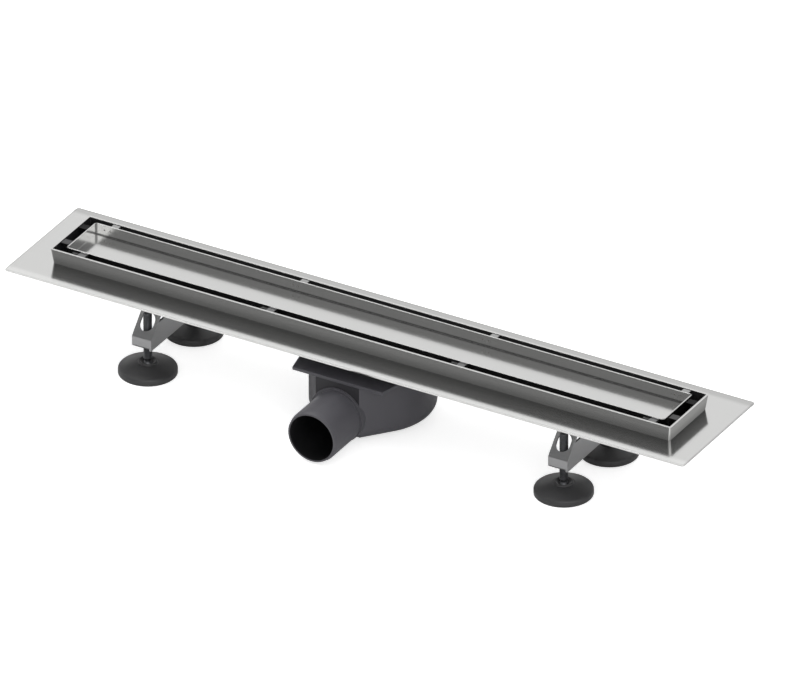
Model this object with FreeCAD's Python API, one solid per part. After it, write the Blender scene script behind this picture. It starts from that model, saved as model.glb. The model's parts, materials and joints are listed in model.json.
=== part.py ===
"""Linear shower channel drain with a tile-in tray, a side-outlet odour trap and four levelling feet.

Millimetres. +X runs along the channel, +Y to its back, +Z up. The origin lies on the raw floor,
under the middle of the channel. The outlet spigot points to -Y.
"""
import FreeCAD, Part
import math
import os

Vector = FreeCAD.Vector
UP = Vector(0, 0, 1)
FORWARD = Vector(0, -1, 0)
CLEAR = 1.0  # how far a cutting tool runs past the face it opens

# Sealing flange: a flat sheet welded round the trough.
set_height = 79.0  # raw floor to the top face of the flange
flange_margin = 32.0  # sheet beyond the trough on every side
flange_sheet = 1.5
flange_corner_radius = 3.0

# Trough: a welded tub whose upper wall stands out of the flange as a collar.
trough_length = 636.0
trough_width = 66.0
trough_sheet = 2.0
trough_depth = 13.5  # flange top to the underside of the trough
trough_corner_radius = 2.6
trough_fold_radius = 0.5  # inside of the fold between wall and floor
collar_height = 15.0
collar_flare = 2.0  # how far the collar leans out on each side

# Tile tray: a folded pan that the tile is bedded in.
tray_end_gap = 10.0  # foot of the collar to the tray, at the ends
tray_side_gap = 6.8  # foot of the collar to the tray, at the sides
tray_depth = 11.0
tray_sheet = 1.2
tray_corner_radius = 2.2
tray_fold_radius = 0.3
tray_proud = 0.6  # tray rim above the collar

# Spacers: bent tabs welded to the tray that centre it in the collar.
spacer_width = 7.5
spacer_sheet = 1.2
spacer_leg = 8.0
spacer_drop = 0.9  # top of the tab below the tray rim
spacer_play = 0.5  # free gap between tab and collar
spacer_bend = 0.5
spacer_foot = 8.25  # how far the welded foot of a side spacer runs past its tongue
spacer_foot_drop = 2.2  # top of the tab to the top of that foot
side_spacers = 4
side_spacer_inset = 14.0  # end of the tray to the outermost spacer, before the shift
side_spacer_shift = 5.0
end_spacers = 2
end_spacer_inset = 10.7

# Tray legs: bent straps under the tray that stand on the trough floor.
leg_inset = 4.2  # side of the tray to the leg
leg_length = 24.0
leg_sheet = 1.2
leg_bend = 1.0
legs = 4
leg_end_inset = 50.0  # end of the tray to the middle of the outermost leg

# Odour trap: a moulded pot with a spigot under the channel, and the lid welded on it.
trap_x = -5.0
trap_wall = 2.7
pot_radius = 57.7
pot_front_width = 45.0  # flat wall that the spigot leaves
pot_front_reach = 63.6  # trap axis to that wall
pot_base_round = 10.0
pot_depth = 73.0  # flange top to the underside of the pot
lid_thickness = 3.0
lid_lip = 0.9  # lid beyond the pot
lid_front_width = 92.8
lid_front_reach = 64.0
mouth_radius = 26.0
neck_wall = 2.5
neck_length = 12.0
outlet_radius = 25.0
outlet_wall = 2.7
outlet_depth = 52.0  # flange top to the axis of the spigot
outlet_reach = 110.0  # trap axis to the mouth of the spigot
outlet_chamfer = 1.1
outlet_chamfer_length = 4.5
root_radius = 26.5  # thicker ring where the spigot leaves the pot
root_drop = 0.2  # how far that ring stands out under the spigot
root_reach = 66.0
root_taper_start = 60.0
root_taper_end = 44.0
root_taper = 5.0

# What clamps the trap to the trough.
gasket_thickness = 1.5
clamp_length = 104.0
clamp_width = 56.0
clamp_sheet = 2.0
clamp_corner_radius = 5.0
drain_radius = 27.0  # hole in trough floor, gasket and clamping plate
screw_radius = 2.0
screw_play = 0.3
screw_grip = 0.05
screw_head_radius = 3.8
screw_head_height = 2.4
screw_length = 13.0
screw_spacing_x = 88.0
screw_spacing_y = 38.0
boss_wall = 2.2
boss_floor = 1.5

# Removable siphon insert, hanging in the mouth of the trap.
insert_wall = 2.0
insert_play = 0.8
insert_rim_radius = 30.0
insert_rim_thickness = 1.8
skirt_length = 17.0
cone_length = 5.0
tube_radius = 13.0
tube_length = 27.0
seal_groove_depth = 1.1
seal_groove_width = 2.6
seal_drop = 13.0
seal_play = 0.05
cup_radius = 21.0
cup_wall = 1.8
cup_round = 5.0
cup_gap = 5.6  # end of the tube to the floor of the cup
water_seal = 24.0  # how far the tube dips below the rim of the cup
cup_ribs = 3
cup_rib_width = 2.0
cup_rib_height = 14.0
cup_rib_play = 0.05

# Hair strainer, lying in the mouth of the insert.
strainer_rim_radius = 26.5
strainer_sheet = 1.2
strainer_depth = 2.5
strainer_play = 0.4
strainer_hole_radius = 2.3
strainer_inner_ring = 8.5
strainer_inner_holes = 6
strainer_outer_ring = 16.0
strainer_outer_holes = 12
strainer_knob_radius = 3.0
strainer_knob_height = 6.0

# Foot brackets: bent sheet cradles welded to the walls of the trough.
bracket_inset = 103.4  # end of the trough to the middle of a bracket
bracket_width = 20.0
bracket_sheet = 2.0
bracket_bend = 1.0
bracket_reach = 52.0  # channel centre line to the outside of the lip
bracket_low = 49.8  # flange top to the underside of the bracket
lip_height = 11.0
tab_length = 18.0
strap_angle = 48  # degrees from level
strap_top = 3.0  # flange top to the upper end of the strap
side_plate_top = 26.4  # flange top to the upper edge of the side plate
slot_width = 14.0
slot_start = 7.0  # along the strap, from the lip
slot_length = 17.5
hole_play = 0.5

# Levelling feet: a threaded rod with a ball end that snaps into a pad.
rod_radius = 4.0
rod_y = 41.0
rod_top = 18.0  # flange top to the upper end of the rod
rod_chamfer = 0.8
rod_play = 0.05  # radial, in the nut
nut_flats = 13.0
nut_height = 6.5
nut_chamfer = 0.9
ball_radius = 5.0
ball_height = 8.0  # above the floor
ball_play = 0.2
ball_neck_radius = 2.8
ball_shoulder = 7.0  # ball centre to the full rod
pad_radius = 27.0
pad_rim = 6.0
pad_rim_round = 2.0
pad_recess = 1.2
pad_recess_radius = 20.5
hub_radius = 8.6
hub_height = 12.5
hub_step = 1.3
hub_round = 0.6
mouth_bevel = 3.0  # how much the socket's mouth widens to its top
socket_grip = 2.7  # ball centre to where the socket's mouth begins to widen

# Lengths and places that follow the trough.
tray_length = trough_length - 2 * tray_end_gap
tray_width = trough_width - 2 * tray_side_gap
leg_width = tray_width - 2 * leg_inset
leg_pitch = (tray_length - 2 * leg_end_inset) / (legs - 1)
side_spacer_pitch = (tray_length - 2 * side_spacer_inset) / (side_spacers - 1)
end_spacer_pitch = (tray_width - 2 * end_spacer_inset) / (end_spacers - 1)
bracket_x = trough_length / 2 - bracket_inset

# Levels above the floor that several pieces share.
flange_top = set_height
collar_top = flange_top + collar_height
trough_low = flange_top - trough_depth
trough_floor = trough_low + trough_sheet
tray_rim = collar_top + tray_proud
tray_floor = tray_rim - tray_depth
tray_low = tray_floor - tray_sheet
lid_top = trough_low - gasket_thickness
lid_low = lid_top - lid_thickness
pot_low = flange_top - pot_depth
outlet_z = flange_top - outlet_depth
clamp_top = trough_floor + clamp_sheet
insert_rim_top = clamp_top + insert_rim_thickness
bracket_base = flange_top - bracket_low
rod_end = flange_top - rod_top
skirt_radius = mouth_radius - insert_play
skirt_low = clamp_top - skirt_length
tube_top = skirt_low - cone_length
tube_end = tube_top - tube_length
cup_rim = tube_end + water_seal
cup_floor = tube_end - cup_gap


def rounded_wire(corners, place):
    """Close a wire through (a, b, radius) corners; place turns (a, b) into a point in space."""
    flat = [Vector(a, b, 0) for a, b, radius in corners]
    bends = []
    for index, (a, b, radius) in enumerate(corners):
        here = flat[index]
        back = (flat[index - 1] - here).normalize()
        ahead = (flat[(index + 1) % len(flat)] - here).normalize()
        if radius <= 0:
            bends.append((here, None, here))
            continue
        half = back.getAngle(ahead) / 2
        run = radius / math.tan(half)
        inward = (back + ahead).normalize()
        crown = here + inward * (radius / math.sin(half) - radius)
        bends.append((here + back * run, crown, here + ahead * run))
    edges = []
    for index, (start, crown, end) in enumerate(bends):
        previous = bends[index - 1][2]
        if previous.distanceToPoint(start) > 1e-6:
            edges.append(Part.makeLine(place(previous.x, previous.y), place(start.x, start.y)))
        if crown is not None:
            points = [place(point.x, point.y) for point in (start, crown, end)]
            edges.append(Part.Arc(*points).toShape())
    return Part.Wire(edges)


def rectangle_wire(length, width, radius, z, x=0.0, y=0.0):
    """Rounded rectangle in plan."""
    a = length / 2
    b = width / 2
    corners = [(a, -b, radius), (a, b, radius), (-a, b, radius), (-a, -b, radius)]
    return rounded_wire(corners, lambda u, v: Vector(x + u, y + v, z))


def prism(length, width, radius, low, high, x=0.0, y=0.0):
    """Upright block with rounded corners in plan."""
    face = Part.Face(rectangle_wire(length, width, radius, low, x, y))
    return face.extrude(UP * (high - low))


def tub(length, width, radius, low, high, fold):
    """Upright block whose bottom edges are rounded as a folded sheet's are."""
    block = prism(length, width, radius, low, high)
    bottom = [edge for edge in block.Edges if edge.BoundBox.ZMax < low + 1e-3]
    return block.makeFillet(fold, bottom)


def turned(corners, x=0.0, y=0.0):
    """Revolve an (r, z, radius) outline about an upright axis."""
    face = Part.Face(rounded_wire(corners, lambda r, z: Vector(x + r, y, z)))
    return face.revolve(Vector(x, y, 0), UP, 360)


def turned_forward(corners, x, z):
    """Revolve an (r, reach, radius) outline about an axis that points to the front."""
    face = Part.Face(rounded_wire(corners, lambda r, reach: Vector(x + r, -reach, z)))
    return face.revolve(Vector(x, 0, z), FORWARD, 360)


def side_profile(corners, x_low, x_high):
    """Extrude a (y, z, radius) outline along the channel."""
    face = Part.Face(rounded_wire(corners, lambda y, z: Vector(x_low, y, z)))
    return face.extrude(Vector(x_high - x_low, 0, 0))


def post(radius, low, high, x, y):
    """Upright cylinder between two levels."""
    return Part.makeCylinder(radius, high - low, Vector(x, y, low), UP)


def spread(count, pitch, shift=0.0):
    """Evenly spaced places about shift."""
    return [shift + pitch * (index - (count - 1) / 2) for index in range(count)]


def screw_places():
    """Plan positions of the four screws that clamp the trap."""
    return [(trap_x + u * screw_spacing_x / 2, v * screw_spacing_y / 2)
            for u in (-1, 1) for v in (-1, 1)]


def collar_inside(half_at_foot, z):
    """Half width inside the flared collar at a level above the flange."""
    return half_at_foot - trough_sheet + collar_flare * (z - flange_top) / collar_height


def sealing_flange():
    length = trough_length + 2 * flange_margin
    width = trough_width + 2 * flange_margin
    sheet = prism(length, width, flange_corner_radius, flange_top - flange_sheet, flange_top)
    opening = prism(trough_length, trough_width, trough_corner_radius,
                    flange_top - flange_sheet - CLEAR, flange_top + CLEAR)
    return sheet.cut(opening)


def trough_block(inset, low, fold):
    """The tub and its flared collar as one block, drawn in by the sheet's thickness for the inside."""
    length = trough_length - 2 * inset
    width = trough_width - 2 * inset
    radius = trough_corner_radius - inset
    flare = 2 * collar_flare
    tub_part = tub(length, width, radius, low, flange_top, fold)
    foot = rectangle_wire(length, width, radius, flange_top)
    rim = rectangle_wire(length + flare, width + flare, radius, collar_top)
    collar = Part.makeLoft([foot, rim], True, True)
    return tub_part.fuse(collar).removeSplitter()


def channel_trough():
    outer = trough_block(0.0, trough_low, trough_fold_radius + trough_sheet)
    inner = trough_block(trough_sheet, trough_floor, trough_fold_radius)
    trough = outer.cut(inner)
    trough = trough.cut(post(drain_radius, trough_low - CLEAR, trough_floor + CLEAR, trap_x, 0))
    for x, y in screw_places():
        trough = trough.cut(post(screw_radius + screw_play, trough_low - CLEAR, trough_floor + CLEAR, x, y))
    return trough


def tile_tray():
    outer = tub(tray_length, tray_width, tray_corner_radius, tray_low, tray_rim,
                tray_fold_radius + tray_sheet)
    inner = tub(tray_length - 2 * tray_sheet, tray_width - 2 * tray_sheet,
                tray_corner_radius - tray_sheet, tray_floor, tray_rim + CLEAR, tray_fold_radius)
    return outer.cut(inner)


def tray_spacer(reach, turn, x, y, foot=0.0):
    """Angle tab: a leg flat on the tray's wall and a tongue that reaches for the collar.

    A foot widens the leg to one side, which a minus sign swaps, and holds the two spot welds.
    """
    top = tray_rim - spacer_drop
    outline = [
        (0, top - spacer_leg, 0),
        (spacer_sheet, top - spacer_leg, 0),
        (spacer_sheet, top - spacer_sheet, spacer_bend),
        (reach, top - spacer_sheet, 0),
        (reach, top, 0),
        (0, top, spacer_bend + spacer_sheet),
    ]
    start = -spacer_width / 2
    face = Part.Face(rounded_wire(outline, lambda u, z: Vector(u, start, z)))
    tab = face.extrude(Vector(0, spacer_width, 0))
    if foot:
        foot_height = spacer_leg - spacer_foot_drop
        foot_y = min(0, foot) - spacer_width / 2
        foot_width = spacer_width + abs(foot)
        tab = tab.fuse(Part.makeBox(spacer_sheet, foot_width, foot_height,
                                    Vector(0, foot_y, top - spacer_leg))).removeSplitter()
    tab.rotate(Vector(0, 0, 0), UP, turn)
    tab.translate(Vector(x, y, 0))
    return tab


def tray_spacers():
    """Every spacer by name: side ones along both walls, and end ones."""
    level = tray_rim - spacer_drop - spacer_sheet
    wall = tray_width / 2
    side_reach = collar_inside(trough_width / 2, level) - wall - spacer_play
    end_reach = collar_inside(trough_length / 2, level) - tray_length / 2 - spacer_play
    pieces = {}
    for index, x in enumerate(spread(side_spacers, side_spacer_pitch, side_spacer_shift), 1):
        pieces[f"tray_spacer_back_{index}"] = tray_spacer(side_reach, 90, x, wall, spacer_foot)
        pieces[f"tray_spacer_front_{index}"] = tray_spacer(side_reach, -90, x, -wall, -spacer_foot)
    for index, y in enumerate(spread(end_spacers, end_spacer_pitch), 1):
        pieces[f"tray_spacer_left_{index}"] = tray_spacer(end_reach, 180, -tray_length / 2, y)
        pieces[f"tray_spacer_right_{index}"] = tray_spacer(end_reach, 0, tray_length / 2, y)
    return pieces


def tray_leg(x):
    """Strap bent to a bridge, from the trough floor to the underside of the tray."""
    a = leg_width / 2
    b = a - leg_sheet
    outline = [
        (-a, trough_floor, 0),
        (-a, tray_low, leg_bend + leg_sheet),
        (a, tray_low, leg_bend + leg_sheet),
        (a, trough_floor, 0),
        (b, trough_floor, 0),
        (b, tray_low - leg_sheet, leg_bend),
        (-b, tray_low - leg_sheet, leg_bend),
        (-b, trough_floor, 0),
    ]
    return side_profile(outline, x - leg_length / 2, x + leg_length / 2)


def nose_angle(radius, front_width, front_reach):
    """Angle at the trap's axis, from the front to where a side wall leaves the round."""
    half = front_width / 2
    return math.atan2(half, front_reach) + math.acos(radius / math.hypot(half, front_reach))


def nose_block(radius, angle, front_reach, low, high):
    """Upright block: round over the pot, with tangent walls that run in to a flat front."""
    x = radius * math.sin(angle)
    y = -radius * math.cos(angle)
    corner = (radius - front_reach * math.cos(angle)) / math.sin(angle)
    left_corner = Vector(trap_x - corner, -front_reach, low)
    right_corner = Vector(trap_x + corner, -front_reach, low)
    left = Vector(trap_x - x, y, low)
    right = Vector(trap_x + x, y, low)
    edges = [
        Part.makeLine(left_corner, right_corner),
        Part.makeLine(right_corner, right),
        Part.Arc(right, Vector(trap_x, radius, low), left).toShape(),
        Part.makeLine(left, left_corner),
    ]
    return Part.Face(Part.Wire(edges)).extrude(UP * (high - low))


def pot_block(inset, low, high):
    """The pot as one block with a rounded base, drawn in by the wall for the inside."""
    angle = nose_angle(pot_radius, pot_front_width, pot_front_reach)
    block = nose_block(pot_radius - inset, angle, pot_front_reach - inset, low, high)
    bottom = [edge for edge in block.Edges if edge.BoundBox.ZMax < low + 1e-3]
    return block.makeFillet(pot_base_round - inset, bottom)


def trap_housing():
    """One moulding, open at its top: the pot and the spigot that leaves its flat front."""
    spigot = turned_forward([(0, root_taper_end, 0), (outlet_radius - root_taper, root_taper_end, 0),
                             (outlet_radius, root_taper_start, 0),
                             (outlet_radius, outlet_reach - outlet_chamfer_length, 0),
                             (outlet_radius - outlet_chamfer, outlet_reach, 0),
                             (0, outlet_reach, 0)], trap_x, outlet_z)
    lift = root_radius - outlet_radius - root_drop
    root = turned_forward([(0, root_taper_end, 0), (root_radius - root_taper, root_taper_end, 0),
                           (root_radius, root_taper_start, 0), (root_radius, root_reach, 0),
                           (0, root_reach, 0)], trap_x, outlet_z + lift)
    body = pot_block(0.0, pot_low, lid_low).fuse([spigot, root])

    bore_radius = outlet_radius - outlet_wall
    bore = turned_forward([(0, root_taper_end, 0), (bore_radius - root_taper, root_taper_end, 0),
                           (bore_radius, root_taper_start + outlet_wall, 0),
                           (bore_radius, outlet_reach + CLEAR, 0),
                           (0, outlet_reach + CLEAR, 0)], trap_x, outlet_z)
    cavity = pot_block(trap_wall, pot_low + trap_wall, lid_low + CLEAR)
    return body.cut(cavity.fuse(bore)).removeSplitter()


def trap_lid():
    """Moulded lid welded on the pot, with the sealing neck and blind screw bosses."""
    angle = nose_angle(pot_radius + lid_lip, lid_front_width, lid_front_reach)
    plate = nose_block(pot_radius + lid_lip, angle, lid_front_reach, lid_low, lid_top)
    neck = post(mouth_radius + neck_wall, lid_low - neck_length, lid_top, trap_x, 0)
    bosses = [post(screw_radius + boss_wall, boss_low(), lid_top, x, y) for x, y in screw_places()]
    lid = plate.fuse([neck] + bosses)
    lid = lid.cut(post(mouth_radius, lid_low - neck_length - CLEAR, lid_top + CLEAR, trap_x, 0))
    for x, y in screw_places():
        lid = lid.cut(post(screw_radius + screw_grip, boss_low() + boss_floor, lid_top + CLEAR, x, y))
    return lid.removeSplitter()


def boss_low():
    """Underside of the blind bosses, below the tip of the screw."""
    return clamp_top - screw_length - 2 * boss_floor


def clamp_outline_block(low, high, shrink=0.0):
    """Rectangle with the drain hole and four screw holes, shared by gasket and clamping plate."""
    block = prism(clamp_length - shrink, clamp_width - shrink, clamp_corner_radius, low, high, trap_x, 0)
    block = block.cut(post(drain_radius, low - CLEAR, high + CLEAR, trap_x, 0))
    for x, y in screw_places():
        block = block.cut(post(screw_radius + screw_play, low - CLEAR, high + CLEAR, x, y))
    return block


def clamp_screws():
    """Four pan-head screws, seated on the clamping plate."""
    screws = []
    for x, y in screw_places():
        outline = [
            (0, clamp_top - screw_length, 0),
            (screw_radius, clamp_top - screw_length, screw_radius / 2),
            (screw_radius, clamp_top, 0),
            (screw_head_radius, clamp_top, 0),
            (screw_head_radius, clamp_top + screw_head_height, screw_head_height / 2),
            (0, clamp_top + screw_head_height, 0),
        ]
        screws.append(turned(outline, x, y))
    return Part.makeCompound(screws)


def dip_tube():
    """Insert with a rim that rests on the clamping plate, a sealed skirt and a tube into the cup."""
    inner_skirt = skirt_radius - insert_wall
    inner_tube = tube_radius - insert_wall
    body = turned([
        (inner_skirt, insert_rim_top, 0),
        (insert_rim_radius, insert_rim_top, insert_rim_thickness / 2),
        (insert_rim_radius, clamp_top, 0),
        (skirt_radius, clamp_top, 0),
        (skirt_radius, skirt_low, 0),
        (tube_radius, tube_top, 0),
        (tube_radius, tube_end, 0),
        (inner_tube, tube_end, 0),
        (inner_tube, tube_top + insert_wall / 2, 0),
        (inner_skirt, skirt_low + insert_wall / 2, 0),
    ], trap_x)
    groove = turned([
        (skirt_radius - seal_groove_depth, clamp_top - seal_drop - seal_groove_width / 2, 0),
        (skirt_radius + CLEAR, clamp_top - seal_drop - seal_groove_width / 2, 0),
        (skirt_radius + CLEAR, clamp_top - seal_drop + seal_groove_width / 2, 0),
        (skirt_radius - seal_groove_depth, clamp_top - seal_drop + seal_groove_width / 2, 0),
    ], trap_x)
    return body.cut(groove)


def insert_seal():
    """Ring seal between the insert's groove and the neck of the trap."""
    floor_of_groove = skirt_radius - seal_groove_depth
    section = (mouth_radius - floor_of_groove) / 2 - seal_play
    ring = (mouth_radius + floor_of_groove) / 2
    return Part.makeTorus(ring, section, Vector(trap_x, 0, clamp_top - seal_drop), UP)


def siphon_cup():
    """Cup that holds the water seal, clipped to the tube by ribs."""
    shell = turned([
        (0, cup_floor - cup_wall, 0),
        (cup_radius, cup_floor - cup_wall, cup_round),
        (cup_radius, cup_rim, 0),
        (cup_radius - cup_wall, cup_rim, 0),
        (cup_radius - cup_wall, cup_floor, cup_round - cup_wall),
        (0, cup_floor, 0),
    ], trap_x)
    ribs = []
    for index in range(cup_ribs):
        start = tube_radius + cup_rib_play
        rib = Part.makeBox(cup_radius - cup_wall / 2 - start, cup_rib_width, cup_rib_height,
                           Vector(start, -cup_rib_width / 2, tube_end + cup_gap))
        rib.rotate(Vector(0, 0, 0), UP, index * 360 / cup_ribs + 90)
        rib.translate(Vector(trap_x, 0, 0))
        ribs.append(rib)
    round_tube = post(tube_radius + cup_rib_play, cup_floor, cup_rim, trap_x, 0)
    return shell.fuse(ribs).cut(round_tube).removeSplitter()


def hair_strainer():
    """Pressed dish with rings of holes and a lifting knob."""
    dish_radius = skirt_radius - insert_wall - strainer_play
    rim_top = insert_rim_top + strainer_sheet
    floor = insert_rim_top - strainer_depth
    dish = turned([
        (0, floor - strainer_sheet, 0),
        (dish_radius, floor - strainer_sheet, strainer_sheet),
        (dish_radius, insert_rim_top, 0),
        (strainer_rim_radius, insert_rim_top, 0),
        (strainer_rim_radius, rim_top, 0),
        (dish_radius - strainer_sheet, rim_top, 0),
        (dish_radius - strainer_sheet, floor, 0),
        (strainer_knob_radius, floor, 0),
        (strainer_knob_radius, floor + strainer_knob_height, strainer_knob_radius / 2),
        (0, floor + strainer_knob_height, 0),
    ], trap_x)
    holes = []
    rings = ((strainer_inner_ring, strainer_inner_holes), (strainer_outer_ring, strainer_outer_holes))
    for ring_radius, count in rings:
        for index in range(count):
            angle = 2 * math.pi * index / count
            x = trap_x + ring_radius * math.cos(angle)
            y = ring_radius * math.sin(angle)
            holes.append(post(strainer_hole_radius, floor - strainer_sheet - CLEAR, floor + CLEAR, x, y))
    return dish.cut(holes)


def bracket_strip(side, x):
    """Tab, lip and strap of one end: a strip of sheet bent along the channel's cross direction."""
    wall = trough_width / 2
    lip_top = bracket_base + lip_height
    slope = math.tan(math.radians(strap_angle))
    strap_outside = wall + bracket_sheet
    bend_z = lip_top + (bracket_reach - strap_outside) * slope
    half_turn = math.tan(math.radians((90 - strap_angle) / 2))
    inset = bracket_sheet * half_turn  # how far a bend's inner corner sits below its outer one
    inner = bracket_bend
    outer = bracket_bend + bracket_sheet
    tab_end = bracket_reach - tab_length
    outline = [
        (side * tab_end, bracket_base, 0),
        (side * bracket_reach, bracket_base, outer),
        (side * bracket_reach, lip_top, outer),
        (side * strap_outside, bend_z, inner),
        (side * strap_outside, flange_top - strap_top, 0),
        (side * wall, flange_top - strap_top, 0),
        (side * wall, bend_z - inset, outer),
        (side * (bracket_reach - bracket_sheet), lip_top - inset, inner),
        (side * (bracket_reach - bracket_sheet), bracket_base + bracket_sheet, inner),
        (side * tab_end, bracket_base + bracket_sheet, 0),
    ]
    strip = side_profile(outline, x - bracket_width / 2, x + bracket_width / 2)
    return strip.cut(strap_slot(side, x, lip_top))


def strap_slot(side, x, lip_top):
    """Round-ended window in the sloping strap, through which the rod rises."""
    angle = math.radians(strap_angle)
    along = Vector(0, -side * math.cos(angle), math.sin(angle))
    across = Vector(0, -side * math.sin(angle), -math.cos(angle))
    start = Vector(x, side * bracket_reach, lip_top)
    radius = slot_width / 2
    depth = 3 * bracket_sheet
    base = start - across * bracket_sheet
    first = base + along * (slot_start + radius)
    last = base + along * (slot_start + slot_length - radius)
    ends = [Part.makeCylinder(radius, depth, point, across) for point in (first, last)]
    span = last - first
    corners = [first + Vector(radius, 0, 0), first - Vector(radius, 0, 0)]
    corners += [corners[1] + span, corners[0] + span]
    middle = Part.Face(Part.makePolygon(corners + corners[:1])).extrude(across * depth)
    return middle.fuse(ends)


def foot_bracket(x):
    """Both bent strips, joined on one side by an upright side plate."""
    slope = math.tan(math.radians(strap_angle))
    lip_top = bracket_base + lip_height
    plate_top = flange_top - side_plate_top
    shoulder = bracket_reach - (plate_top - lip_top) / slope
    outline = [
        (-bracket_reach, bracket_base, 0),
        (bracket_reach, bracket_base, 0),
        (bracket_reach, lip_top, 0),
        (shoulder, plate_top, 0),
        (-shoulder, plate_top, 0),
        (-bracket_reach, lip_top, 0),
    ]
    edge = x + bracket_width / 2
    bracket = side_profile(outline, edge - bracket_sheet, edge)
    bracket = bracket.fuse([bracket_strip(-1, x), bracket_strip(1, x)]).removeSplitter()
    for side in (-1, 1):
        hole = post(rod_radius + hole_play, bracket_base - CLEAR, bracket_base + bracket_sheet + CLEAR,
                    x, side * rod_y)
        bracket = bracket.cut(hole)
    return bracket


def foot_nut(x, y):
    """Hexagon nut welded on the tab of the bracket."""
    low = bracket_base + bracket_sheet
    high = low + nut_height
    corner = nut_flats / 2 / math.cos(math.pi / 6)
    points = [Vector(x + corner * math.sin(k * math.pi / 3), y + corner * math.cos(k * math.pi / 3), low)
              for k in range(7)]
    hexagon = Part.Face(Part.makePolygon(points)).extrude(UP * nut_height)
    rise = nut_chamfer / 2
    barrel = turned([(0, low, 0), (corner - nut_chamfer, low, 0), (corner, low + rise, 0),
                     (corner, high - rise, 0), (corner - nut_chamfer, high, 0), (0, high, 0)], x, y)
    return hexagon.common(barrel).cut(post(rod_radius + rod_play, low - CLEAR, high + CLEAR, x, y))


def foot_rod(x, y):
    """Threaded rod with a necked ball at its lower end."""
    ball = Part.makeSphere(ball_radius, Vector(x, y, ball_height))
    full = ball_height + ball_shoulder
    shaft = turned([
        (0, ball_height, 0),
        (ball_neck_radius, ball_height, 0),
        (ball_neck_radius, full - (rod_radius - ball_neck_radius), 0),
        (rod_radius, full, 0),
        (rod_radius, rod_end - rod_chamfer, 0),
        (rod_radius - rod_chamfer, rod_end, 0),
        (0, rod_end, 0),
    ], x, y)
    return shaft.fuse(ball).removeSplitter()


def foot_pad(x, y):
    """Moulded pad: a shallow cone with a hub that holds the ball."""
    cone_top = hub_height - hub_step
    body = turned([
        (0, pad_recess, 0),
        (pad_recess_radius, pad_recess, 0),
        (pad_recess_radius + pad_recess, 0, 0),
        (pad_radius, 0, pad_rim_round / 2),
        (pad_radius, pad_rim, pad_rim_round),
        (hub_radius, cone_top, 0),
        (hub_radius, hub_height, hub_round),
        (0, hub_height, 0),
    ], x, y)
    socket_radius = ball_radius + ball_play
    lip_radius = math.sqrt(socket_radius ** 2 - socket_grip ** 2)
    mouth = turned([
        (0, ball_height, 0),
        (lip_radius, ball_height + socket_grip, 0),
        (lip_radius + mouth_bevel, hub_height, 0),
        (lip_radius + mouth_bevel, hub_height + CLEAR, 0),
        (0, hub_height + CLEAR, 0),
    ], x, y)
    socket = Part.makeSphere(socket_radius, Vector(x, y, ball_height))
    return body.cut(mouth.fuse(socket))


def all_pieces():
    """Every sub-part by its name."""
    pieces = {
        "sealing_flange": sealing_flange(),
        "channel_trough": channel_trough(),
        "tile_tray": tile_tray(),
        "trap_housing": trap_housing(),
        "trap_lid": trap_lid(),
        "trap_gasket": clamp_outline_block(lid_top, trough_low),
        "clamp_plate": clamp_outline_block(trough_floor, clamp_top),
        "clamp_screws": clamp_screws(),
        "dip_tube": dip_tube(),
        "insert_seal": insert_seal(),
        "siphon_cup": siphon_cup(),
        "hair_strainer": hair_strainer(),
    }
    pieces.update(tray_spacers())
    for index, x in enumerate(spread(legs, leg_pitch), 1):
        pieces[f"tray_leg_{index}"] = tray_leg(x)
    for end, x in (("left", -bracket_x), ("right", bracket_x)):
        pieces[f"foot_bracket_{end}"] = foot_bracket(x)
        for side, y in (("front", -rod_y), ("back", rod_y)):
            place = f"{side}_{end}"
            pieces[f"foot_nut_{place}"] = foot_nut(x, y)
            pieces[f"foot_rod_{place}"] = foot_rod(x, y)
            pieces[f"foot_pad_{place}"] = foot_pad(x, y)
    return pieces


os.makedirs("parts", exist_ok=True)
for name, shape in all_pieces().items():
    shape.exportStep(f"parts/{name}.step")
    print(f"{name}: {len(shape.Solids)} solid(s), {shape.Volume / 1000:.2f} cm3, valid {shape.isValid()}")
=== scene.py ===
# %% [markdown]
# # A linear shower drain, dressed for its photograph
#
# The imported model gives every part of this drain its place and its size. This lesson gives the
# parts their looks: ground and bevelled sheet steel, a cut screw thread, moulded feet, spot welds,
# and the light of a plain product photograph. Everything is in metres, in the model's own frame:
# X runs along the channel, Y to its back and Z up from the raw floor.

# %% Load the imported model
import json
import math

import bmesh
import bpy
from mathutils import Matrix, Vector

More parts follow.
